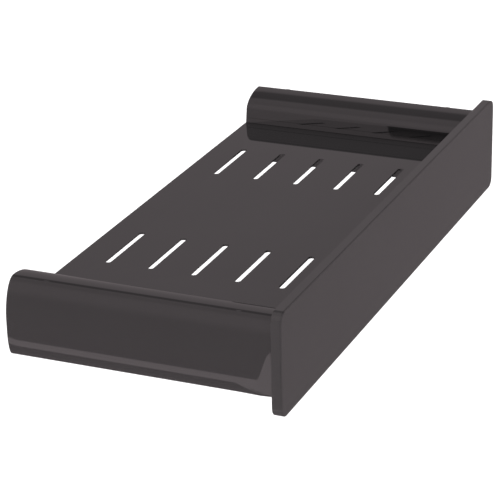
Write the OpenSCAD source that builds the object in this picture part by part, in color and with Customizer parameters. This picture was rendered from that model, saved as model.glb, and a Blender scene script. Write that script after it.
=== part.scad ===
// Under desk drawer: a wide drawer front on a slotted tray deck that slides out
// between two hollow bullnose end housings on ball-bearing slides.
// Origin: centre of the desk screw pattern, on the plane of the desk's underside.
// X runs along the drawer front, the drawer opens towards -Y, and Z is up.
// Heights "above the base line" are measured from the drawer front's lower edge.

/* [Drawer front] */
// Width of the drawer front
front_w = 687; // [620:1:860]
// Height of the drawer front
front_h = 112; // [110:1:124]
// Thickness of the drawer front
front_t = 11.5; // [10:0.5:14]
// Corner radius of the drawer front
front_corner_r = 11; // [6:0.5:16]
// Radius of the drawer front's edges
front_edge_r = 1; // [1:0.5:3]
// Gap between the closed drawer front and the housings
front_gap = 0.6; // [0.4:0.1:2]

/* [Tray deck] */
// Depth of the deck and of the housings
tray_d = 290; // [286:1:330]
// Height of the deck's upper face above the base line
deck_h = 67; // [66:0.5:69]
// Sheet thickness of the deck
deck_t = 2.2; // [1.6:0.1:2.5]
// Depth of the folded hem along the deck's rear edge
hem_h = 9; // [6:1:14]
// Length of one slot
slot_l = 90; // [60:1:100]
// Width of one slot
slot_w = 7; // [6:0.5:9]
// Distance from slot to slot
slot_pitch = 50; // [40:1:52]
// Number of slots in a row
slot_n = 5; // [3:1:5]
// Distance of the first slot's centre line from the rear edge
slot_back = 38; // [30:1:50]
// Distance of each row's middle from the middle of the deck
slot_row_x = 143; // [110:1:170]

/* [End housings] */
// Height of the housing crests and of the desk's underside above the base line
crest_h = 101.5; // [100:0.5:102]
// Width of one housing
housing_w = 62; // [62:0.5:66]
// How far the housing's outer face sits inside the end of the drawer front
housing_inset = 1.5; // [0:0.5:4]
// Wall thickness of the housing
housing_wall = 2.5; // [2:0.1:3]
// Height of the housing's lower lip above the base line
lip_h = 18.6; // [16:0.2:20]
// Gap between the deck and the foot of the housing's inner wall
foot_gap = 0.6; // [0.5:0.1:1]

/* [Desk screws] */
// Distance of the desk screws from the middle, along the front
desk_hole_y = 105; // [80:1:115]
// Diameter of the desk screw holes
desk_hole_d = 4.5; // [4:0.1:5.5]

/* [Slides] */
// Length of one slide
slide_l = 280; // [278:1:280]
// Height of the slide section
slide_h = 35; // [34:0.5:36]
// How far the drawer opens
travel = 190; // [150:1:190]
// Diameter of the bearing balls
ball_d = 4.6; // [4.4:0.1:4.7]
// Number of balls in one row
ball_n = 8; // [5:1:9]

/* [Hidden] */
$fn = 48;
eps = 0.01;

coat = [0.30, 0.28, 0.285];
zinc = [0.72, 0.73, 0.74];
rubber = [0.10, 0.10, 0.10];
brass = [0.78, 0.66, 0.38];

// Front and rear planes of the tray and housings
front_y = -tray_d / 2;
rear_y = tray_d / 2;
// Rear and front face of the drawer front
panel_back_y = front_y - front_gap;
panel_face_y = panel_back_y - front_t;
// Outer face of the right housing
outer_x = front_w / 2 - housing_inset;

// Section of a housing: u is measured inwards from its outer face, h from the base line
crest_u = 21;
shoulder_h = 57;
waist_h = 46;
lip_u = 7.7;
inner_shoulder_h = 83;
inner_lean = 0.15;
arc_steps = 14;
foot_h = deck_h + foot_gap;

// Slide section, measured like the housing section
web_u = housing_w - 19;
web_t = 2.5;
web_low_h = 24;
web_top_gap = 6;
rail_u = web_u + web_t;
slide_mid_h = 42;
sheet = 1.2;
rail_depth = 11.2;
runner_u = rail_u + 11.5;
runner_depth = 8;
runner_half_h = slide_h / 2 - sheet - ball_d - 0.5;
ball_u = rail_u + 7.5;
ball_dh = (slide_h / 2 - sheet + runner_half_h) / 2;
ball_play = 0.3;
ball_margin = 10;
cage_u = rail_u + 3;
cage_t = 0.8;
cage_depth = 8;
cage_l = slide_l - travel - 4;
// Bent tabs that stop the ball rows: sheet thickness, height, width and place
stop_t = 1.3;
stop_w = 4.8;
rail_stop_u = rail_u + 4.5;
rail_stop_l = 6;
rail_stop_dh = slide_h / 2 - sheet / 2 - 2;
runner_stop_u = ball_u - 0.8;
runner_stop_l = 4;
runner_stop_dh = runner_half_h + 1.4;
bumper_r = 4;
bumper_gap = 0.3;

// Hangers between the runners and the deck
hanger_u = runner_u + sheet;
hanger_t = 2;
hanger_low_h = 18;
hanger_foot_w = 16;
deck_side_x = outer_x - hanger_u;
deck_low_h = deck_h - deck_t;
hanger_stud_u = hanger_u + hanger_t + 9;
hanger_stud_ys = [-110, 0, 110];
bumper_u = hanger_u - 5;

// Brackets between the deck and the drawer front
bracket_w = 40;
bracket_t = 2;
bracket_low_h = 22;
bracket_reach = 24;
bracket_xs = [-200, 0, 200];
bracket_stud_y = panel_back_y + 15;
front_screw_dx = 12;
front_screw_h = 34;

// Walls of the hollow drawer front
panel_wall = 3;
back_plate_t = 2.5;
plate_gap = 0.15;
panel_rib_t = 2;
panel_rib_n = 7;

// Fasteners
desk_hole_u = 22;
desk_boss_r = 5.5;
desk_boss_h = 13;
cap_t = 2.5;
cap_gap = 0.2;
cap_side_gap = 0.4;
cap_screw_u = 36;
cap_screw_h = 78;
cap_post_r = 4;
cap_post_l = 15;
cap_post_web_t = 3;
cap_screw_pilot_r = 1.3;
cap_screw_r = 1.25;
cap_screw_l = 11;
rail_screw_ys = [-110, 0, 110];
rail_screw_r = 1.5;
rail_screw_l = 6;
rail_boss_r = 3.5;
rail_boss_l = 5;
runner_screw_ys = [-100, 0, 100];
runner_screw_r = 2;
runner_screw_l = 4.2;
front_screw_r = 1.65;
front_screw_boss_r = 4;
front_screw_bite = 4;
hole_play = 0.1;
stud_r = 2;
stud_l = 8;
nut_t = 3.2;
nut_af = 7;

// Height above the base line as a height in the part's own frame
function z(h) = h - crest_h;

// Quarter of an ellipse about a centre, from angle a0 to angle a1
function quarter(c, rx, ry, a0, a1) =
    [for (i = [0 : arc_steps])
        let (a = a0 + (a1 - a0) * i / arc_steps)
        [c[0] + rx * cos(a), c[1] + ry * sin(a)]];

// Leans the inner wall: it runs outwards as it goes down from the crest
function leaned(points) = [for (p = points) [p[0] + inner_lean * (crest_h - p[1]), p[1]]];

// Housing outline drawn in by s, from the lower lip over the crest down the inner wall
function housing_path(s) =
    let (inner_r = housing_w - crest_u - inner_lean * (crest_h - foot_h))
    concat(
        quarter([lip_u, waist_h], lip_u - s, waist_h - lip_h - s, 180 + 90, 180),
        quarter([crest_u, shoulder_h], crest_u - s, crest_h - shoulder_h - s, 180, 90),
        leaned(concat(
            quarter([crest_u, inner_shoulder_h], inner_r - s,
                    crest_h - inner_shoulder_h - s, 90, 0),
            [[crest_u + inner_r - s, web_low_h]])));

function reversed(list) = [for (i = [len(list) - 1 : -1 : 0]) list[i]];

// Places a section drawn in (u, h) on the right side and extrudes it from y0 to y1
module section_run(y0, y1) {
    translate([outer_x, y1, z(0)])
        rotate([90, 0, 0])
            mirror([1, 0, 0])
                linear_extrude(y1 - y0)
                    children();
}

// Moves to the point (u, h) of the right side at depth y
module at_section(u, h, y) {
    translate([outer_x - u, y, z(h)]) children();
}

module on_left() {
    mirror([1, 0, 0]) children();
}

module rounded_square(w, h, r) {
    square([w - 2 * r, h], center = true);
    square([w, h - 2 * r], center = true);
    for (sx = [-1, 1], sy = [-1, 1])
        translate([sx * (w / 2 - r), sy * (h / 2 - r)]) circle(r);
}

// Rod along Y, from y0 to y1
module rod_y(r, y0, y1) {
    translate([0, y1, 0]) rotate([90, 0, 0]) cylinder(r = r, h = y1 - y0);
}

// Rod along X, from x0 to x1
module rod_x(r, x0, x1) {
    translate([x0, 0, 0]) rotate([0, 90, 0]) cylinder(r = r, h = x1 - x0);
}

// Pan-head screw with a cross recess: the head's seat is at z = 0, the shank points down
module pan_screw(shank_r, shank_l, head_r, head_h) {
    difference() {
        union() {
            cylinder(r = head_r, h = head_h * 0.55);
            cylinder(r = head_r * 0.86, h = head_h);
            translate([0, 0, -shank_l]) cylinder(r = shank_r, h = shank_l + eps);
        }
        for (a = [0, 90])
            rotate([0, 0, a])
                translate([-head_r * 0.55, -head_r * 0.13, head_h * 0.4])
                    cube([head_r * 1.1, head_r * 0.26, head_h]);
    }
}

// ---------- end housings ----------

module housing_section() {
    difference() {
        polygon(concat(housing_path(0), reversed(housing_path(housing_wall))));
        translate([web_u + web_t, 0]) square([housing_w, foot_h]);
    }
}

module housing() {
    difference() {
        union() {
            section_run(front_y, rear_y) housing_section();
            section_run(front_y, rear_y - cap_t - cap_gap)
                translate([web_u, web_low_h])
                    square([web_t, crest_h - web_low_h - web_top_gap]);
            for (y = [-desk_hole_y, desk_hole_y])
                at_section(desk_hole_u, crest_h - desk_boss_h, y)
                    cylinder(r = desk_boss_r, h = desk_boss_h);
            for (y = rail_screw_ys)
                at_section(web_u, slide_mid_h, y) rod_x(rail_boss_r, -eps, rail_boss_l);
            cap_screw_post();
        }
        for (y = [-desk_hole_y, desk_hole_y])
            at_section(desk_hole_u, 0, y) cylinder(d = desk_hole_d, h = crest_h + 1);
        for (y = rail_screw_ys)
            at_section(rail_u, slide_mid_h, y)
                rod_x(rail_screw_r + hole_play, -1, web_t + rail_boss_l - 1);
        at_section(cap_screw_u, cap_screw_h, 0)
            rod_y(cap_screw_pilot_r, rear_y - cap_post_l + 2, rear_y);
    }
}

// Post that takes the rear cap's screw, tied to the housing's web
module cap_screw_post() {
    at_section(cap_screw_u, cap_screw_h, 0)
        rod_y(cap_post_r, rear_y - cap_post_l, rear_y - cap_t - cap_gap);
    section_run(rear_y - cap_post_l, rear_y - cap_t - cap_gap)
        translate([cap_screw_u, cap_screw_h - cap_post_web_t / 2])
            square([web_u - cap_screw_u + eps, cap_post_web_t]);
}

module left_housing() {
    color(coat) on_left() housing();
}

module right_housing() {
    color(coat) housing();
}

module rear_cap() {
    difference() {
        section_run(rear_y - cap_t, rear_y)
            intersection() {
                polygon(concat(housing_path(housing_wall + cap_gap),
                               [[housing_w + 2, lip_h + housing_wall + cap_gap]]));
                union() {
                    square([hanger_u - cap_side_gap, crest_h]);
                    translate([0, foot_h]) square([housing_w, crest_h]);
                }
            }
        at_section(cap_screw_u, cap_screw_h, 0)
            rod_y(cap_screw_r + 4 * hole_play, rear_y - cap_t - 1, rear_y + 1);
    }
}

module left_rear_cap() {
    color(coat) on_left() rear_cap();
}

module right_rear_cap() {
    color(coat) rear_cap();
}

module rear_cap_screws() {
    color(zinc)
        for (side = [-1, 1])
            translate([side * (outer_x - cap_screw_u), rear_y, z(cap_screw_h)])
                rotate([-90, 0, 0]) pan_screw(cap_screw_r, cap_screw_l, 2.8, 1.6);
}

// ---------- slides ----------

module rail() {
    difference() {
        section_run(-slide_l / 2, slide_l / 2)
            difference() {
                translate([rail_u, slide_mid_h - slide_h / 2]) square([rail_depth, slide_h]);
                translate([rail_u + sheet, slide_mid_h - slide_h / 2 + sheet])
                    square([rail_depth, slide_h - 2 * sheet]);
            }
        for (y = rail_screw_ys)
            at_section(rail_u, slide_mid_h, y)
                rod_x(rail_screw_r + 2 * hole_play, -sheet - 1, 1);
    }
    // End stops of the ball rows
    section_run(-slide_l / 2, -slide_l / 2 + stop_t)
        for (s = [-1, 1])
            translate([rail_stop_u, slide_mid_h + s * rail_stop_dh - stop_w / 2])
                square([rail_stop_l, stop_w]);
}

module left_rail() {
    color(zinc) on_left() rail();
}

module right_rail() {
    color(zinc) rail();
}

module rail_screws() {
    color(zinc)
        for (side = [-1, 1], y = rail_screw_ys)
            translate([side * (outer_x - rail_u - sheet), y, z(slide_mid_h)])
                rotate([0, -side * 90, 0]) pan_screw(rail_screw_r, rail_screw_l, 3, 1.3);
}

module runner() {
    difference() {
        section_run(-slide_l / 2, slide_l / 2)
            difference() {
                translate([runner_u + sheet - runner_depth, slide_mid_h - runner_half_h])
                    square([runner_depth, 2 * runner_half_h]);
                translate([runner_u - runner_depth, slide_mid_h - runner_half_h + sheet])
                    square([runner_depth, 2 * (runner_half_h - sheet)]);
            }
        for (y = runner_screw_ys)
            at_section(runner_u, slide_mid_h, y)
                rod_x(runner_screw_r + hole_play, -sheet - 1, 1);
    }
    section_run(slide_l / 2 - stop_t, slide_l / 2)
        for (s = [-1, 1])
            translate([runner_stop_u,
                       slide_mid_h + s * runner_stop_dh - runner_stop_l / 2])
                square([stop_w, runner_stop_l]);
}

module left_runner() {
    color(zinc) on_left() runner();
}

module right_runner() {
    color(zinc) runner();
}

module runner_screws() {
    color(zinc)
        for (side = [-1, 1], y = runner_screw_ys)
            translate([side * (outer_x - runner_u), y, z(slide_mid_h)])
                rotate([0, side * 90, 0])
                    pan_screw(runner_screw_r, runner_screw_l, 3.5, 1.6);
}

// Places one ball of a row
module at_ball(row, i) {
    ball_pitch = (cage_l - ball_margin) / (ball_n - 1);
    at_section(ball_u, slide_mid_h + row * ball_dh, (i - (ball_n - 1) / 2) * ball_pitch)
        children();
}

module cage() {
    difference() {
        section_run(-cage_l / 2, cage_l / 2)
            difference() {
                translate([cage_u, slide_mid_h - ball_dh - cage_t / 2])
                    square([cage_depth, 2 * ball_dh + cage_t]);
                translate([cage_u + cage_t, slide_mid_h - ball_dh + cage_t / 2])
                    square([cage_depth, 2 * ball_dh - cage_t]);
            }
        for (row = [-1, 1], i = [0 : ball_n - 1])
            at_ball(row, i)
                translate([0, 0, -cage_t]) cylinder(d = ball_d + ball_play, h = 2 * cage_t);
    }
}

module balls() {
    for (row = [-1, 1], i = [0 : ball_n - 1])
        at_ball(row, i) sphere(d = ball_d);
}

module left_cage() {
    color(brass) on_left() cage();
}

module right_cage() {
    color(brass) cage();
}

module left_balls() {
    color(zinc) on_left() balls();
}

module right_balls() {
    color(zinc) balls();
}

// Buffers on the rear caps, which the closed drawer's runners meet
module rear_bumpers() {
    color(rubber)
        for (side = [-1, 1])
            translate([side * (outer_x - bumper_u), 0, z(slide_mid_h)])
                rod_y(bumper_r, slide_l / 2 + bumper_gap, rear_y - cap_t);
}

// ---------- drawer ----------

// Slab with round corners and round edges, standing on its long side
module front_slab() {
    hull()
        for (sx = [-1, 1], sz = [-1, 1], sy = [-1, 1])
            translate([sx * (front_w / 2 - front_corner_r),
                       (panel_face_y + panel_back_y) / 2 + sy * (front_t / 2 - front_edge_r),
                       z(front_h / 2) + sz * (front_h / 2 - front_corner_r)])
                rotate([90, 0, 0])
                    rotate_extrude()
                        translate([front_corner_r - front_edge_r, 0])
                            circle(front_edge_r, $fn = 24);
}

// Upright plate inside the drawer front, drawn in by s, from y0 to y1
module front_inside(s, y0, y1) {
    translate([0, y1, z(front_h / 2)])
        rotate([90, 0, 0])
            linear_extrude(y1 - y0)
                rounded_square(front_w - 2 * s, front_h - 2 * s, front_corner_r - s + 1);
}

module at_front_screws() {
    for (x = bracket_xs, s = [-1, 1])
        translate([x + s * front_screw_dx, 0, z(front_screw_h)]) children();
}

module front_shell() {
    inner_face_y = panel_face_y + panel_wall;
    rib_pitch = (front_w - 2 * panel_wall) / (panel_rib_n + 1);
    color(coat)
        difference() {
            union() {
                difference() {
                    front_slab();
                    front_inside(panel_wall, inner_face_y, panel_back_y + 1);
                }
                for (i = [1 : panel_rib_n])
                    translate([(i - (panel_rib_n + 1) / 2) * rib_pitch - panel_rib_t / 2,
                               inner_face_y - eps, z(panel_wall) - eps])
                        cube([panel_rib_t, front_t - panel_wall - back_plate_t,
                              front_h - 2 * panel_wall + 2 * eps]);
                at_front_screws()
                    rod_y(front_screw_boss_r, inner_face_y - eps, panel_back_y - back_plate_t);
            }
            at_front_screws()
                rod_y(front_screw_r + hole_play / 2, inner_face_y - 0.5, panel_back_y);
        }
}

module front_back_plate() {
    color(coat)
        difference() {
            front_inside(panel_wall + plate_gap, panel_back_y - back_plate_t, panel_back_y);
            at_front_screws()
                rod_y(front_screw_r + 5 * hole_play, panel_back_y - back_plate_t - 1,
                      panel_back_y + 1);
        }
}

module slot_outline() {
    square([slot_l - slot_w, slot_w], center = true);
    for (s = [-1, 1])
        translate([s * (slot_l - slot_w) / 2, 0]) circle(d = slot_w);
}

module at_deck_studs() {
    for (x = bracket_xs)
        translate([x, bracket_stud_y, z(deck_low_h)]) children();
    for (side = [-1, 1], y = hanger_stud_ys)
        translate([side * (outer_x - hanger_stud_u), y, z(deck_low_h)]) children();
}

module deck() {
    color(coat) {
        difference() {
            translate([-deck_side_x, panel_back_y, z(deck_low_h)])
                cube([2 * deck_side_x, rear_y - panel_back_y, deck_t]);
            for (side = [-1, 1], i = [0 : slot_n - 1])
                translate([side * slot_row_x, rear_y - slot_back - i * slot_pitch,
                           z(deck_low_h) - 1])
                    linear_extrude(deck_t + 2) slot_outline();
        }
        translate([-deck_side_x + hanger_foot_w + 4, rear_y - deck_t, z(deck_h - hem_h)])
            cube([2 * (deck_side_x - hanger_foot_w - 4), deck_t, hem_h - deck_t + eps]);
        at_deck_studs()
            translate([0, 0, -stud_l]) cylinder(r = stud_r, h = stud_l + eps);
    }
}

module hanger() {
    difference() {
        section_run(-slide_l / 2, slide_l / 2) {
            translate([hanger_u, hanger_low_h]) square([hanger_t, deck_low_h - hanger_low_h]);
            translate([hanger_u, deck_low_h - hanger_t]) square([hanger_foot_w, hanger_t]);
        }
        for (y = runner_screw_ys)
            at_section(hanger_u, slide_mid_h, y)
                rod_x(runner_screw_r + hole_play, -hanger_t - 1, 1);
        for (y = hanger_stud_ys)
            at_section(hanger_stud_u, deck_low_h - hanger_t - 1, y)
                cylinder(r = stud_r + 0.2, h = hanger_t + 2);
    }
}

module left_hanger() {
    color(coat) on_left() hanger();
}

module right_hanger() {
    color(coat) hanger();
}

module front_bracket(x) {
    difference() {
        translate([x - bracket_w / 2, panel_back_y, z(0)]) {
            translate([0, 0, bracket_low_h])
                cube([bracket_w, bracket_t, deck_low_h - bracket_low_h]);
            translate([0, 0, deck_low_h - bracket_t])
                cube([bracket_w, bracket_reach, bracket_t]);
        }
        for (s = [-1, 1])
            translate([x + s * front_screw_dx, 0, z(front_screw_h)])
                rod_y(front_screw_r + 5 * hole_play, panel_back_y - 1,
                      panel_back_y + bracket_t + 1);
        translate([x, bracket_stud_y, z(deck_low_h - bracket_t - 1)])
            cylinder(r = stud_r + 0.2, h = bracket_t + 2);
    }
}

module left_front_bracket() {
    color(coat) front_bracket(bracket_xs[0]);
}

module middle_front_bracket() {
    color(coat) front_bracket(bracket_xs[1]);
}

module right_front_bracket() {
    color(coat) front_bracket(bracket_xs[2]);
}

// Hexagon nuts on the deck's weld studs
module stud_nuts() {
    color(zinc)
        at_deck_studs()
            translate([0, 0, -bracket_t - nut_t])
                difference() {
                    cylinder(d = nut_af / cos(30), h = nut_t, $fn = 6);
                    translate([0, 0, -1]) cylinder(r = stud_r + 0.05, h = nut_t + 2);
                }
}

module front_screws() {
    color(zinc)
        at_front_screws()
            translate([0, panel_back_y + bracket_t, 0])
                rotate([-90, 0, 0])
                    pan_screw(front_screw_r, bracket_t + back_plate_t + front_screw_bite, 3.6, 2);
}

left_housing();
right_housing();
left_rear_cap();
right_rear_cap();
rear_cap_screws();
left_rail();
right_rail();
rail_screws();
rear_bumpers();
front_shell();
front_back_plate();
deck();
left_hanger();
right_hanger();
left_front_bracket();
middle_front_bracket();
right_front_bracket();
stud_nuts();
front_screws();
left_runner();
right_runner();
runner_screws();
left_cage();
right_cage();
left_balls();
right_balls();
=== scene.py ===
import math

import bmesh
import bpy
from mathutils import Matrix, Vector


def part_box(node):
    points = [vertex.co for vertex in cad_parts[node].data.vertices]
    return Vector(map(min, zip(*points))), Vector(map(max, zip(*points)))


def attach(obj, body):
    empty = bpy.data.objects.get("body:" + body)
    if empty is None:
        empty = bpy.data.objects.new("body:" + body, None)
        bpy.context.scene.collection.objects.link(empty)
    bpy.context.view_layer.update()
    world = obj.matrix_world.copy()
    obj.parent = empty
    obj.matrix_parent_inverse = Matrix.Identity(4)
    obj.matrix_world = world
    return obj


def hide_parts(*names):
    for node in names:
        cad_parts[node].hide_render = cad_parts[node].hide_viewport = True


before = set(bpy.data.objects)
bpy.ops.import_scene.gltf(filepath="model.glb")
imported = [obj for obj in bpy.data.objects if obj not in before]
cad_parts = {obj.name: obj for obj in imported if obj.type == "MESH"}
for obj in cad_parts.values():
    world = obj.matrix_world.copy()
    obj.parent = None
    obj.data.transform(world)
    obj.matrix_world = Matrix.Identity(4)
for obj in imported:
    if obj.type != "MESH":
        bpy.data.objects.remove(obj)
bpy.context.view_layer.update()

# Looks of the under desk drawer. Everything is in metres, in the part's own frame:
# the desk's underside is z = 0, the drawer opens towards -Y.
# "u" runs inwards from a housing's outer face, "h" upwards from the drawer front's lower edge.

MM = 0.001

PANEL_LO, PANEL_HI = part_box("front_shell")
HOUSING_LO, HOUSING_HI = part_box("right_housing")
BASE_Z = PANEL_LO.z
FRONT_Y = HOUSING_LO.y
REAR_Y = HOUSING_HI.y
OUTER_X = HOUSING_HI.x
CREST_H = HOUSING_HI.z - BASE_Z
LIP_H = HOUSING_LO.z - BASE_Z

# Drawer front
PANEL_CORNER_R = 11 * MM
PANEL_EDGE_R = 1 * MM
PANEL_RIM = 3 * MM
PLATE_T = 2.5 * MM
PARTING_Y = 1.1 * MM
PARTING_W = 0.45 * MM
PARTING_DEPTH = 0.3 * MM
GROOVE_FLANK = 0.05 * MM

# Housing section, as the CAD draws it
HOUSING_W = HOUSING_HI.x - HOUSING_LO.x
WALL = 2.5 * MM
CREST_U = 21 * MM
SHOULDER_H = 57 * MM
WAIST_H = 46 * MM
LIP_U = 7.7 * MM
INNER_SHOULDER_H = 83 * MM
INNER_LEAN = 0.15
FOOT_H = 67.6 * MM
FOOT_LIP = 0.35 * MM
FOOT_GROOVE_H = 73.4 * MM
FOOT_GROOVE_W = 0.5 * MM
FOOT_GROOVE_DEPTH = 0.45 * MM
END_ROUND = 0.9 * MM

# Near the drawer front the lower outer wall turns into a flat that leans in, below a crease
SWEEP_DEPTH = 19 * MM
SWEEP_TAIL = 42 * MM
SWEEP_TOP_H = 72 * MM
SWEEP_LOW_H = 35 * MM
SWEEP_SLOPE = math.tan(math.radians(6.5))
SWEEP_CURL = 1.5 * MM
SWEEP_CURL_U = 0.5 * MM

# Inside of a housing
WEB_U = 43 * MM
WEB_LOW_H = 24 * MM
WEB_TOP_H = 95.5 * MM
CAP_GAP = 2.7 * MM
DESK_HOLE_U = 22 * MM
DESK_HOLE_Y = 105 * MM
DESK_HOLE_R = 2.25 * MM
DESK_BOSS_R = 5.5 * MM
DESK_BOSS_H = 13 * MM
CREST_SKIN = 0.4 * MM
SLIDE_H = 42 * MM
RAIL_SCREW_YS = (-110 * MM, 0, 110 * MM)
RAIL_BOSS_R = 3.5 * MM
RAIL_BOSS_L = 5 * MM
POST_U = 36 * MM
POST_H = 78 * MM
POST_R = 4 * MM
POST_L = 15 * MM


# ---------- mesh helpers ----------

def make_object(name, verts, faces, sharp_angle=40):
    mesh = bpy.data.meshes.new(name)
    mesh.from_pydata([tuple(v) for v in verts], [], faces)
    bm = bmesh.new()
    bm.from_mesh(mesh)
    bmesh.ops.remove_doubles(bm, verts=bm.verts, dist=1e-7)
    bmesh.ops.recalc_face_normals(bm, faces=bm.faces)
    bm.to_mesh(mesh)
    bm.free()
    mesh.polygons.foreach_set("use_smooth", [True] * len(mesh.polygons))
    mesh.set_sharp_from_angle(angle=math.radians(sharp_angle))
    obj = bpy.data.objects.new(name, mesh)
    bpy.context.scene.collection.objects.link(obj)
    return obj


def weight_normals(obj):
    modifier = obj.modifiers.new("weighted_normals", "WEIGHTED_NORMAL")
    modifier.keep_sharp = True
    modifier.weight = 90


def soften_edges(obj, width, segments=2, angle=35):
    """Rounds the sharp edges of an object with modifiers, which a CAD node may carry."""
    obj.data.polygons.foreach_set("use_smooth", [True] * len(obj.data.polygons))
    bevel = obj.modifiers.new("edge_round", "BEVEL")
    bevel.width = width
    bevel.segments = segments
    bevel.limit_method = "ANGLE"
    bevel.angle_limit = math.radians(angle)
    bevel.harden_normals = False
    bevel.use_clamp_overlap = True
    weight_normals(obj)


def loft(rings, close_ends=True):
    """Vertices and faces of a closed tube through rings with the same number of points."""
    count = len(rings[0])
    verts = [p for ring in rings for p in ring]
    faces = []
    for k in range(len(rings) - 1):
        for i in range(count):
            j = (i + 1) % count
            faces.append((k * count + i, k * count + j, (k + 1) * count + j, (k + 1) * count + i))
    if close_ends:
        last = (len(rings) - 1) * count
        faces.append(tuple(range(count)))
        faces.append(tuple(last + i for i in range(count)))
    return verts, faces


def rounded_rectangle(half_w, half_h, radius, steps=10):
    """Points of a rectangle with round corners, as (x, z) pairs about its middle."""
    points = []
    for corner, (sx, sz) in enumerate([(1, 1), (-1, 1), (-1, -1), (1, -1)]):
        for i in range(steps + 1):
            a = math.pi / 2 * (corner + i / steps)
            points.append((sx * (half_w - radius) + radius * math.cos(a),
                           sz * (half_h - radius) + radius * math.sin(a)))
    return points


# ---------- materials ----------

def new_material(name):
    material = bpy.data.materials.new(name)
    material.use_nodes = True
    tree = material.node_tree
    tree.nodes.clear()
    output = tree.nodes.new("ShaderNodeOutputMaterial")
    shader = tree.nodes.new("ShaderNodeBsdfPrincipled")
    tree.links.new(shader.outputs["BSDF"], output.inputs["Surface"])
    return material, tree, shader


def add_noise(tree, scale, detail=3.0, roughness=0.5, stretch=(1, 1, 1)):
    coordinates = tree.nodes.new("ShaderNodeTexCoord")
    mapping = tree.nodes.new("ShaderNodeMapping")
    mapping.inputs["Scale"].default_value = stretch
    noise = tree.nodes.new("ShaderNodeTexNoise")
    noise.inputs["Scale"].default_value = scale
    noise.inputs["Detail"].default_value = detail
    noise.inputs["Roughness"].default_value = roughness
    tree.links.new(coordinates.outputs["Object"], mapping.inputs["Vector"])
    tree.links.new(mapping.outputs["Vector"], noise.inputs["Vector"])
    return noise.outputs["Fac"]


def map_range(tree, value, to_low, to_high, from_low=0.3, from_high=0.7):
    node = tree.nodes.new("ShaderNodeMapRange")
    node.inputs["From Min"].default_value = from_low
    node.inputs["From Max"].default_value = from_high
    node.inputs["To Min"].default_value = to_low
    node.inputs["To Max"].default_value = to_high
    tree.links.new(value, node.inputs["Value"])
    return node.outputs["Result"]


def mix_colors(tree, factor, first, second):
    node = tree.nodes.new("ShaderNodeMix")
    node.data_type = "RGBA"
    tree.links.new(factor, node.inputs["Factor"])
    for socket, colour in (("A", first), ("B", second)):
        target = [s for s in node.inputs if s.name == socket and s.type == "RGBA"][0]
        if isinstance(colour, tuple):
            target.default_value = (*colour, 1)
        else:
            tree.links.new(colour, target)
    return [s for s in node.outputs if s.type == "RGBA"][0]


def add_bump(tree, shader, height, strength, distance):
    bump = tree.nodes.new("ShaderNodeBump")
    bump.inputs["Strength"].default_value = strength
    bump.inputs["Distance"].default_value = distance
    tree.links.new(height, bump.inputs["Height"])
    tree.links.new(bump.outputs["Normal"], shader.inputs["Normal"])
    return bump


def worn_edges(tree, low=0.52, high=0.62):
    """0 on flat surfaces, rising to 1 on sharp outside edges."""
    geometry = tree.nodes.new("ShaderNodeNewGeometry")
    return map_range(tree, geometry.outputs["Pointiness"], 0.0, 1.0, low, high)


def gloss_plastic(name, dark, light, gloss=0.2, grain=0.03, ior=2.4):
    """Dark moulded plastic: faint mottling, a fine orange-peel skin, slightly polished edges."""
    material, tree, shader = new_material(name)
    mottle = add_noise(tree, 9, 4)
    body = mix_colors(tree, map_range(tree, mottle, 0, 1), dark, light)
    edge_tint = tuple(min(1.0, c * 1.3) for c in light)
    colour = mix_colors(tree, worn_edges(tree, 0.58, 0.75), body, edge_tint)
    tree.links.new(colour, shader.inputs["Base Color"])
    smudge = add_noise(tree, 22, 5, 0.6)
    tree.links.new(map_range(tree, smudge, gloss - 0.006, gloss + 0.01), shader.inputs["Roughness"])
    shader.inputs["IOR"].default_value = ior
    peel = add_noise(tree, 900, 2)
    add_bump(tree, shader, peel, grain, 0.0004)
    return material


def plated_steel(name, dark, light, rough=0.3, stretch=(1, 0.05, 1), bump=0.05):
    """Plated sheet steel with fine drawing marks along its length."""
    material, tree, shader = new_material(name)
    marks = add_noise(tree, 1500, 3, 0.6, stretch)
    cloud = add_noise(tree, 60, 3)
    blend = mix_colors(tree, map_range(tree, cloud, 0, 1), dark, light)
    bright = tuple(min(1.0, c * 1.25) for c in light)
    colour = mix_colors(tree, worn_edges(tree), blend, bright)
    tree.links.new(colour, shader.inputs["Base Color"])
    shader.inputs["Metallic"].default_value = 1.0
    tree.links.new(map_range(tree, marks, rough - 0.06, rough + 0.1), shader.inputs["Roughness"])
    add_bump(tree, shader, marks, bump, 0.0003)
    return material


def rubber_material():
    material, tree, shader = new_material("rubber")
    cloud = add_noise(tree, 300, 4)
    colour = mix_colors(tree, map_range(tree, cloud, 0, 1), (0.014, 0.014, 0.014), (0.03, 0.03, 0.03))
    tree.links.new(colour, shader.inputs["Base Color"])
    shader.inputs["Roughness"].default_value = 0.75
    add_bump(tree, shader, add_noise(tree, 2500, 2), 0.3, 0.0003)
    return material


SHELL = gloss_plastic("shell_lacquer", (0.010, 0.0098, 0.0102), (0.013, 0.0127, 0.0132),
                      gloss=0.02, grain=0.003)
FRONT = gloss_plastic("front_lacquer", (0.022, 0.0212, 0.0218), (0.026, 0.0249, 0.0256),
                      gloss=0.05, grain=0.004)
DECK = gloss_plastic("deck_lacquer", (0.013, 0.0127, 0.0132), (0.016, 0.0155, 0.016),
                     gloss=0.02, grain=0.003, ior=2.26)
ZINC = plated_steel("zinc_steel", (0.46, 0.47, 0.49), (0.56, 0.57, 0.58))
SCREW = plated_steel("screw_steel", (0.42, 0.42, 0.43), (0.55, 0.55, 0.56), 0.26, (1, 1, 1), 0.03)
CAGE = plated_steel("cage_steel", (0.52, 0.44, 0.26), (0.64, 0.56, 0.36), 0.34)
BALL = plated_steel("ball_steel", (0.62, 0.62, 0.64), (0.70, 0.70, 0.72), 0.12, (1, 1, 1), 0.0)
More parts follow.
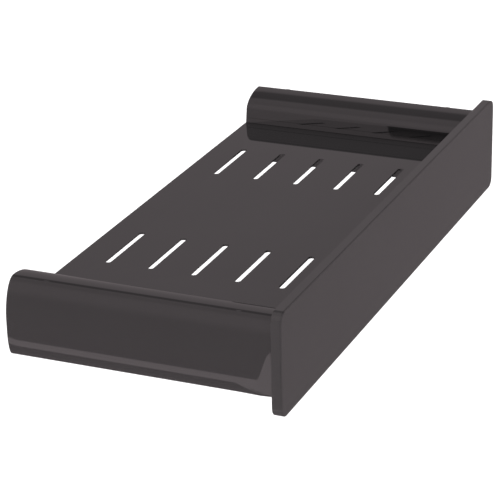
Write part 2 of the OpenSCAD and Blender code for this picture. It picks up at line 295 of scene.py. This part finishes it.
RUBBER = rubber_material()


def dress(obj, material, body=None, replaced=()):
    obj.data.materials.clear()
    obj.data.materials.append(material)
    if body:
        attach(obj, body)
    if replaced:
        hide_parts(*replaced)
    return obj


# ---------- drawer front ----------

def build_front():
    """Slab with round corners and edges, and a rebate at the back for the back plate."""
    middle = (PANEL_LO + PANEL_HI) / 2
    half = (PANEL_HI - PANEL_LO) / 2
    face_y, back_y = PANEL_LO.y, PANEL_HI.y
    stations = []
    edge_steps = 6
    for i in range(edge_steps + 1):
        a = math.pi / 2 * i / edge_steps
        stations.append((PANEL_EDGE_R * (1 - math.sin(a)), face_y + PANEL_EDGE_R * (1 - math.cos(a))))
    groove_y = face_y + PARTING_Y
    stations += [(0, groove_y - GROOVE_FLANK), (PARTING_DEPTH, groove_y),
                 (PARTING_DEPTH, groove_y + PARTING_W), (0, groove_y + PARTING_W + GROOVE_FLANK)]
    for i in range(edge_steps + 1):
        a = math.pi / 2 * i / edge_steps
        stations.append((PANEL_EDGE_R * (1 - math.cos(a)), back_y - PANEL_EDGE_R * (1 - math.sin(a))))
    stations += [(PANEL_RIM, back_y), (PANEL_RIM, back_y - PLATE_T)]
    rings = []
    for inset, y in stations:
        radius = PANEL_CORNER_R - inset + (1 * MM if inset == PANEL_RIM else 0)
        outline = rounded_rectangle(half.x - inset, half.z - inset, radius)
        rings.append([Vector((middle.x + x, y, middle.z + z)) for x, z in outline])
    obj = make_object("drawer_front", *loft(rings))
    weight_normals(obj)
    return dress(obj, FRONT, "drawer", ["front_shell"])


# ---------- end housings ----------

def quarter(centre, radii, start, end, steps):
    """Quarter of an ellipse as (u, h) points, from angle start to end in degrees."""
    points = []
    for i in range(steps + 1):
        a = math.radians(start + (end - start) * i / steps)
        points.append((centre[0] + radii[0] * math.cos(a), centre[1] + radii[1] * math.sin(a)))
    return points


def skin(inset):
    """One skin of the housing from the lip over the crest to the foot, drawn in by inset."""
    steps = 40
    lower = quarter((LIP_U, WAIST_H), (LIP_U - inset, WAIST_H - LIP_H - inset), 270, 180, steps)
    flat_steps = 12
    flat = [(inset, WAIST_H + (SHOULDER_H - WAIST_H) * i / flat_steps) for i in range(1, flat_steps)]
    outer = quarter((CREST_U, SHOULDER_H), (CREST_U - inset, CREST_H - SHOULDER_H - inset),
                    180, 90, steps)
    inner_r = HOUSING_W - CREST_U - INNER_LEAN * (CREST_H - FOOT_H)
    inner = quarter((CREST_U, INNER_SHOULDER_H),
                    (inner_r - inset, CREST_H - INNER_SHOULDER_H - inset), 90, 0, steps)
    wall_steps = 6
    wall_u = inner[-1][0]
    groove_top = FOOT_GROOVE_H + FOOT_GROOVE_W / 2
    groove_low = FOOT_GROOVE_H - FOOT_GROOVE_W / 2
    inner += [(wall_u, INNER_SHOULDER_H + (groove_top - INNER_SHOULDER_H) * i / wall_steps)
              for i in range(1, wall_steps + 1)]
    inner += [(wall_u - FOOT_GROOVE_DEPTH, groove_top - GROOVE_FLANK),
              (wall_u - FOOT_GROOVE_DEPTH, groove_low + GROOVE_FLANK)]
    inner += [(wall_u, groove_low + (FOOT_H - FOOT_LIP - groove_low) * i / wall_steps)
              for i in range(wall_steps + 1)]
    leaned = [(u + INNER_LEAN * (CREST_H - h), h) for u, h in inner]
    return lower + flat + outer + leaned[1:]


def outer_u(h):
    """The outer wall's distance from the outer face at a height h."""
    if h >= SHOULDER_H:
        share = min(1.0, (h - SHOULDER_H) / (CREST_H - SHOULDER_H))
        return CREST_U * (1 - math.sqrt(1 - share * share))
    share = min(1.0, max(0.0, (WAIST_H - h) / (WAIST_H - LIP_H)))
    return LIP_U * (1 - math.sqrt(1 - share * share))


def smooth(share):
    return (1 + math.cos(math.pi * min(1.0, max(0.0, share)))) / 2


def sweep_inset(depth, h):
    """How far the outer wall moves in at a depth behind the front end and a height h."""
    if depth >= SWEEP_TAIL:
        return 0.0
    crease_h = SWEEP_LOW_H + (SWEEP_TOP_H - SWEEP_LOW_H) * smooth(depth / SWEEP_DEPTH)
    if h >= crease_h:
        return 0.0
    curl_h = LIP_H + SWEEP_CURL + (SWEEP_LOW_H - LIP_H - 2 * SWEEP_CURL) * depth / SWEEP_TAIL
    crease_u = outer_u(crease_h)
    if h >= curl_h:
        u = crease_u + (crease_h - h) * SWEEP_SLOPE
    else:
        start_u = crease_u + (crease_h - curl_h) * SWEEP_SLOPE
        end_u = max(LIP_U, start_u + SWEEP_CURL_U)
        share = min(1.0, (curl_h - h) / (curl_h - LIP_H))
        u = start_u + (end_u - start_u) * (1 - math.sqrt(1 - share * share))
    return (u - outer_u(h)) * smooth((depth - SWEEP_DEPTH) / (SWEEP_TAIL - SWEEP_DEPTH))


def swept_skin(inset, depth):
    return [(u + sweep_inset(depth, h) if u < CREST_U else u, h) for u, h in skin(inset)]


def end_stations(length):
    """Pairs of (inset, depth) along a housing: fine at the front, round at both ends."""
    round_steps = 5
    stations = []
    for i in range(round_steps + 1):
        a = math.pi / 2 * i / round_steps
        stations.append((END_ROUND * (1 - math.sin(a)), END_ROUND * (1 - math.cos(a))))
    fine_steps = 72
    for i in range(1, fine_steps + 1):
        stations.append((0.0, END_ROUND + SWEEP_TAIL * i / fine_steps))
    start = stations[-1][1]
    long_steps = 24
    for i in range(1, long_steps + 1):
        stations.append((0.0, start + (length - END_ROUND - start) * i / long_steps))
    for i in range(1, round_steps + 1):
        a = math.pi / 2 * i / round_steps
        stations.append((END_ROUND * (1 - math.cos(a)), length - END_ROUND * (1 - math.sin(a))))
    return stations


def tube(name, centre, axis, outer_r, inner_r, start, end, segments=32):
    """Open-bored round boss along an axis, with its ends broken by a small chamfer."""
    chamfer = 0.3 * MM
    profile = [(inner_r, start), (outer_r - chamfer, start), (outer_r, start + chamfer),
               (outer_r, end - chamfer), (outer_r - chamfer, end), (inner_r, end)]
    side = axis.orthogonal().normalized()
    other = axis.cross(side)
    verts, faces = [], []
    count = len(profile)
    for k in range(segments):
        a = 2 * math.pi * k / segments
        spoke = side * math.cos(a) + other * math.sin(a)
        verts += [centre + spoke * r + axis * d for r, d in profile]
        for i in range(count):
            j, n = (i + 1) % count, (k + 1) % segments
            faces.append((k * count + i, k * count + j, n * count + j, n * count + i))
    return make_object(name, verts, faces)


def rounded_bar(name, low, high, radius):
    """Box along Y with rounded long edges."""
    middle, half = (low + high) / 2, (high - low) / 2
    outline = rounded_rectangle(half.x, half.z, radius, 4)
    rings = [[Vector((middle.x + x * k, y, middle.z + z * k)) for x, z in outline]
             for k, y in ((0.97, low.y), (1.0, low.y + radius), (1.0, high.y - radius), (0.97, high.y))]
    return make_object(name, *loft(rings))


def drill(obj, cutters):
    """Cuts the cutters out of an object and applies the result."""
    for cutter in cutters:
        cut = obj.modifiers.new("drill", "BOOLEAN")
        cut.operation = "DIFFERENCE"
        cut.solver = "EXACT"
        cut.object = cutter
    bpy.context.view_layer.update()
    evaluated = obj.evaluated_get(bpy.context.evaluated_depsgraph_get())
    mesh = bpy.data.meshes.new_from_object(evaluated)
    obj.modifiers.clear()
    obj.data = mesh
    mesh.polygons.foreach_set("use_smooth", [True] * len(mesh.polygons))
    mesh.set_sharp_from_angle(angle=math.radians(50))
    for cutter in cutters:
        bpy.data.objects.remove(cutter)


def at_section(side, u, h, y):
    return Vector((side * (OUTER_X - u), y, BASE_Z + h))


def build_housing(side):
    name = "right_housing" if side > 0 else "left_housing"
    rings = []
    for inset, depth in end_stations(REAR_Y - FRONT_Y):
        section = swept_skin(inset, depth) + swept_skin(WALL - inset, depth)[::-1]
        rings.append([at_section(side, u, h, FRONT_Y + depth) for u, h in section])
    count = len(rings[0])
    verts, faces = loft(rings, close_ends=False)
    last = (len(rings) - 1) * count
    for first in (0, last):
        for i in range(count // 2 - 1):
            faces.append((first + i, first + i + 1, first + count - 2 - i, first + count - 1 - i))
    shell = make_object(name + "_shell", verts, faces, 50)
    up = Vector((0, 0, 1))
    bores = []
    for y in (-DESK_HOLE_Y, DESK_HOLE_Y):
        foot = at_section(side, DESK_HOLE_U, CREST_H - DESK_BOSS_H, y)
        bores.append(rod("bore", foot, up, DESK_HOLE_R, DESK_BOSS_H - CREST_SKIN))
    drill(shell, bores)
    dress(shell, SHELL, "desk_mount", [name])

    parts = []
    low = at_section(side, WEB_U, WEB_LOW_H, FRONT_Y)
    high = at_section(side, WEB_U + WALL, WEB_TOP_H, REAR_Y - CAP_GAP)
    lo_x, hi_x = sorted((low.x, high.x))
    parts.append(rounded_bar("web", Vector((lo_x, low.y, low.z)), Vector((hi_x, high.y, high.z)), 0.4 * MM))
    for y in (-DESK_HOLE_Y, DESK_HOLE_Y):
        foot = at_section(side, DESK_HOLE_U, CREST_H - DESK_BOSS_H, y)
        parts.append(tube("boss", foot, up, DESK_BOSS_R, DESK_HOLE_R, 0, DESK_BOSS_H - 0.5 * MM))
    outward = Vector((side, 0, 0))
    for y in RAIL_SCREW_YS:
        root = at_section(side, WEB_U, SLIDE_H, y)
        parts.append(tube("boss", root, outward, RAIL_BOSS_R, 1.6 * MM, 0, RAIL_BOSS_L))
    post = at_section(side, POST_U, POST_H, REAR_Y - POST_L)
    parts.append(tube("post", post, Vector((0, 1, 0)), POST_R, 1.3 * MM, 0, POST_L - CAP_GAP))
    core = join(parts, name + "_core")
    dress(core, SHELL, "desk_mount", [name])


def rod(name, foot, axis, radius, length, segments=32):
    side = axis.orthogonal().normalized()
    other = axis.cross(side)
    rings = []
    for d in (0, length):
        rings.append([foot + axis * d + side * radius * math.cos(2 * math.pi * k / segments)
                      + other * radius * math.sin(2 * math.pi * k / segments)
                      for k in range(segments)])
    return make_object(name, *loft(rings))


def join(objects, name):
    """Joins objects into one mesh."""
    bm = bmesh.new()
    for obj in objects:
        bm.from_mesh(obj.data)
    mesh = bpy.data.meshes.new(name)
    bm.to_mesh(mesh)
    bm.free()
    for obj in objects:
        bpy.data.objects.remove(obj)
    mesh.polygons.foreach_set("use_smooth", [True] * len(mesh.polygons))
    mesh.set_sharp_from_angle(angle=math.radians(40))
    joined = bpy.data.objects.new(name, mesh)
    bpy.context.scene.collection.objects.link(joined)
    return joined


# ---------- CAD nodes that keep their shape ----------

def dress_cad_nodes():
    looks = {
        "deck": (DECK, "coated_steel", 0.3),
        "left_hanger": (DECK, "coated_steel", 0.3),
        "right_hanger": (DECK, "coated_steel", 0.3),
        "left_front_bracket": (DECK, "coated_steel", 0.3),
        "middle_front_bracket": (DECK, "coated_steel", 0.3),
        "right_front_bracket": (DECK, "coated_steel", 0.3),
        "front_back_plate": (FRONT, "gloss_shell", 0.3),
        "left_rear_cap": (SHELL, "gloss_shell", 0.3),
        "right_rear_cap": (SHELL, "gloss_shell", 0.3),
        "left_rail": (ZINC, "zinc_steel", 0.15),
        "right_rail": (ZINC, "zinc_steel", 0.15),
        "left_runner": (ZINC, "zinc_steel", 0.15),
        "right_runner": (ZINC, "zinc_steel", 0.15),
        "left_cage": (CAGE, "cage_steel", 0.1),
        "right_cage": (CAGE, "cage_steel", 0.1),
        "rear_cap_screws": (SCREW, "fastener_steel", 0.12),
        "rail_screws": (SCREW, "fastener_steel", 0.12),
        "runner_screws": (SCREW, "fastener_steel", 0.12),
        "front_screws": (SCREW, "fastener_steel", 0.12),
        "stud_nuts": (SCREW, "fastener_steel", 0.2),
        "left_balls": (BALL, "ball_steel", 0),
        "right_balls": (BALL, "ball_steel", 0),
        "rear_bumpers": (RUBBER, "rubber", 0.3),
    }
    for name, (material, slot, round_mm) in looks.items():
        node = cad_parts[name]
        dress(node, material)
        if round_mm:
            soften_edges(node, round_mm * MM)
        else:
            node.data.polygons.foreach_set("use_smooth", [True] * len(node.data.polygons))


# ---------- studio ----------

FLOOR_DROP = 0.55
FLOOR_HALF = 12.0
FLOOR_GLOW = 0.3
BACKGROUND_LEVEL = 1.2
CAMERA_AT = Vector((-2.08646, -0.87965, 0.85779))
CAMERA_AZIMUTH = -66.43
CAMERA_ELEVATION = 22.47
CAMERA_ROLL = -1.30
CAMERA_LENS = 156.54
CAMERA_SHIFT = (0.0139, 0.0020)


def build_camera():
    data = bpy.data.cameras.new("camera")
    data.sensor_width = 36
    data.lens = CAMERA_LENS
    data.shift_x, data.shift_y = CAMERA_SHIFT
    data.clip_start, data.clip_end = 0.05, 100
    camera = bpy.data.objects.new("camera", data)
    bpy.context.scene.collection.objects.link(camera)
    azimuth, elevation = math.radians(CAMERA_AZIMUTH), math.radians(CAMERA_ELEVATION)
    back = Vector((math.sin(azimuth) * math.cos(elevation),
                   -math.cos(azimuth) * math.cos(elevation), math.sin(elevation)))
    turn = (-back).to_track_quat("-Z", "Y").to_matrix() @ Matrix.Rotation(math.radians(CAMERA_ROLL), 3, "Z")
    camera.matrix_world = Matrix.Translation(CAMERA_AT) @ turn.to_4x4()
    bpy.context.scene.camera = camera


def build_floor():
    half = FLOOR_HALF
    z = PANEL_LO.z - FLOOR_DROP
    corners = [(-half, -half, z), (half, -half, z), (half, half, z), (-half, half, z)]
    floor = make_object("floor", corners, [(0, 1, 2, 3)])
    material, tree, shader = new_material("floor_paper")
    fibre = add_noise(tree, 40, 4)
    colour = mix_colors(tree, map_range(tree, fibre, 0, 1), (0.90, 0.90, 0.90), (0.93, 0.93, 0.93))
    tree.links.new(colour, shader.inputs["Base Color"])
    shader.inputs["Roughness"].default_value = 0.9
    shader.inputs["Emission Color"].default_value = (1, 1, 1, 1)
    shader.inputs["Emission Strength"].default_value = FLOOR_GLOW
    floor.data.materials.append(material)
    floor.visible_glossy = False


# What the lacquer mirrors: an even studio with a few soft strips that lie along Y. An angle is
# taken round the Y axis: 0 is +X and 90 is up.
STUDIO_LEVEL = 0.25
STUDIO_TINT = (1.0, 0.875, 0.91)
AMBIENT = (0.5, 0.48, 0.49)
STRIPS = {
    # name: (middle angle, half width, soft edge, level)
    "low_strip": (-137, 5, 1, 0.5),
    "dark_gap": (58, 12, 8, 0.12),
    "high_strip": (135, 15, 15, 0.3),
}


def strip_stops():
    """Stops of the studio's ramp, as (angle, level) pairs in rising order."""
    stops = [(-180, STUDIO_LEVEL)]
    for middle, half, edge, level in sorted(STRIPS.values()):
        stops.append((middle - half - edge, STUDIO_LEVEL))
        stops.append((middle - half, level))
        stops.append((middle + half, level))
        stops.append((middle + half + edge, STUDIO_LEVEL))
    return stops + [(180, STUDIO_LEVEL)]


def strip_ramp(tree, turn):
    node = tree.nodes.new("ShaderNodeValToRGB")
    ramp = node.color_ramp
    ramp.interpolation = "LINEAR"
    stops = strip_stops()
    while len(ramp.elements) < len(stops):
        ramp.elements.new(0.5)
    for element, (angle, _) in zip(ramp.elements, stops):
        element.position = (angle + 180) / 360
    for element, (_, level) in zip(ramp.elements, stops):
        element.color = tuple(level * c for c in STUDIO_TINT) + (1,)
    tree.links.new(turn, node.inputs["Fac"])
    return node.outputs["Color"]


def build_sky():
    world = bpy.data.worlds.new("studio")
    bpy.context.scene.world = world
    world.use_nodes = True
    tree = world.node_tree
    tree.nodes.clear()
    output = tree.nodes.new("ShaderNodeOutputWorld")
    lit = tree.nodes.new("ShaderNodeBackground")
    lit.inputs["Strength"].default_value = 1.0
    white = tree.nodes.new("ShaderNodeBackground")
    white.inputs["Strength"].default_value = BACKGROUND_LEVEL
    coordinates = tree.nodes.new("ShaderNodeTexCoord")
    split = tree.nodes.new("ShaderNodeSeparateXYZ")
    tree.links.new(coordinates.outputs["Generated"], split.inputs["Vector"])
    angle = tree.nodes.new("ShaderNodeMath")
    angle.operation = "ARCTAN2"
    tree.links.new(split.outputs["Z"], angle.inputs[0])
    tree.links.new(split.outputs["X"], angle.inputs[1])
    turn = map_range(tree, angle.outputs["Value"], 0.0, 1.0, -math.pi, math.pi)
    sky = strip_ramp(tree, turn)
    path = tree.nodes.new("ShaderNodeLightPath")
    sky = mix_colors(tree, path.outputs["Is Glossy Ray"], AMBIENT, sky)
    tree.links.new(sky, lit.inputs["Color"])
    mix = tree.nodes.new("ShaderNodeMixShader")
    tree.links.new(path.outputs["Is Camera Ray"], mix.inputs["Fac"])
    tree.links.new(lit.outputs["Background"], mix.inputs[1])
    tree.links.new(white.outputs["Background"], mix.inputs[2])
    tree.links.new(mix.outputs["Shader"], output.inputs["Surface"])


def add_softbox(name, place, aim, size, power):
    data = bpy.data.lights.new(name, "AREA")
    data.shape = "RECTANGLE"
    data.size, data.size_y = size
    data.energy = power
    lamp = bpy.data.objects.new(name, data)
    bpy.context.scene.collection.objects.link(lamp)
    lamp.location = place
    lamp.rotation_mode = "QUATERNION"
    lamp.rotation_quaternion = (Vector(aim) - Vector(place)).to_track_quat("-Z", "Y")
    lamp.visible_camera = False
    lamp.visible_glossy = False


def build_lights():
    add_softbox("overhead", (-0.9, 0.2, 1.6), (0, 0, 0), (2, 2), 6.5)
    add_softbox("side_fill", (-1.6, -0.3, 0.1), (-0.3, 0, -0.05), (1.2, 1.2), 6.8)
    add_softbox("floor_wash", (2.5, 1.5, 3.5), (2.2, 1.2, -1), (5, 5), 160)


build_camera()
build_front()
for side in (-1, 1):
    build_housing(side)
dress_cad_nodes()
build_floor()
build_sky()
build_lights()
bpy.context.scene.view_settings.view_transform = "Standard"
bpy.context.scene.view_settings.look = "None"
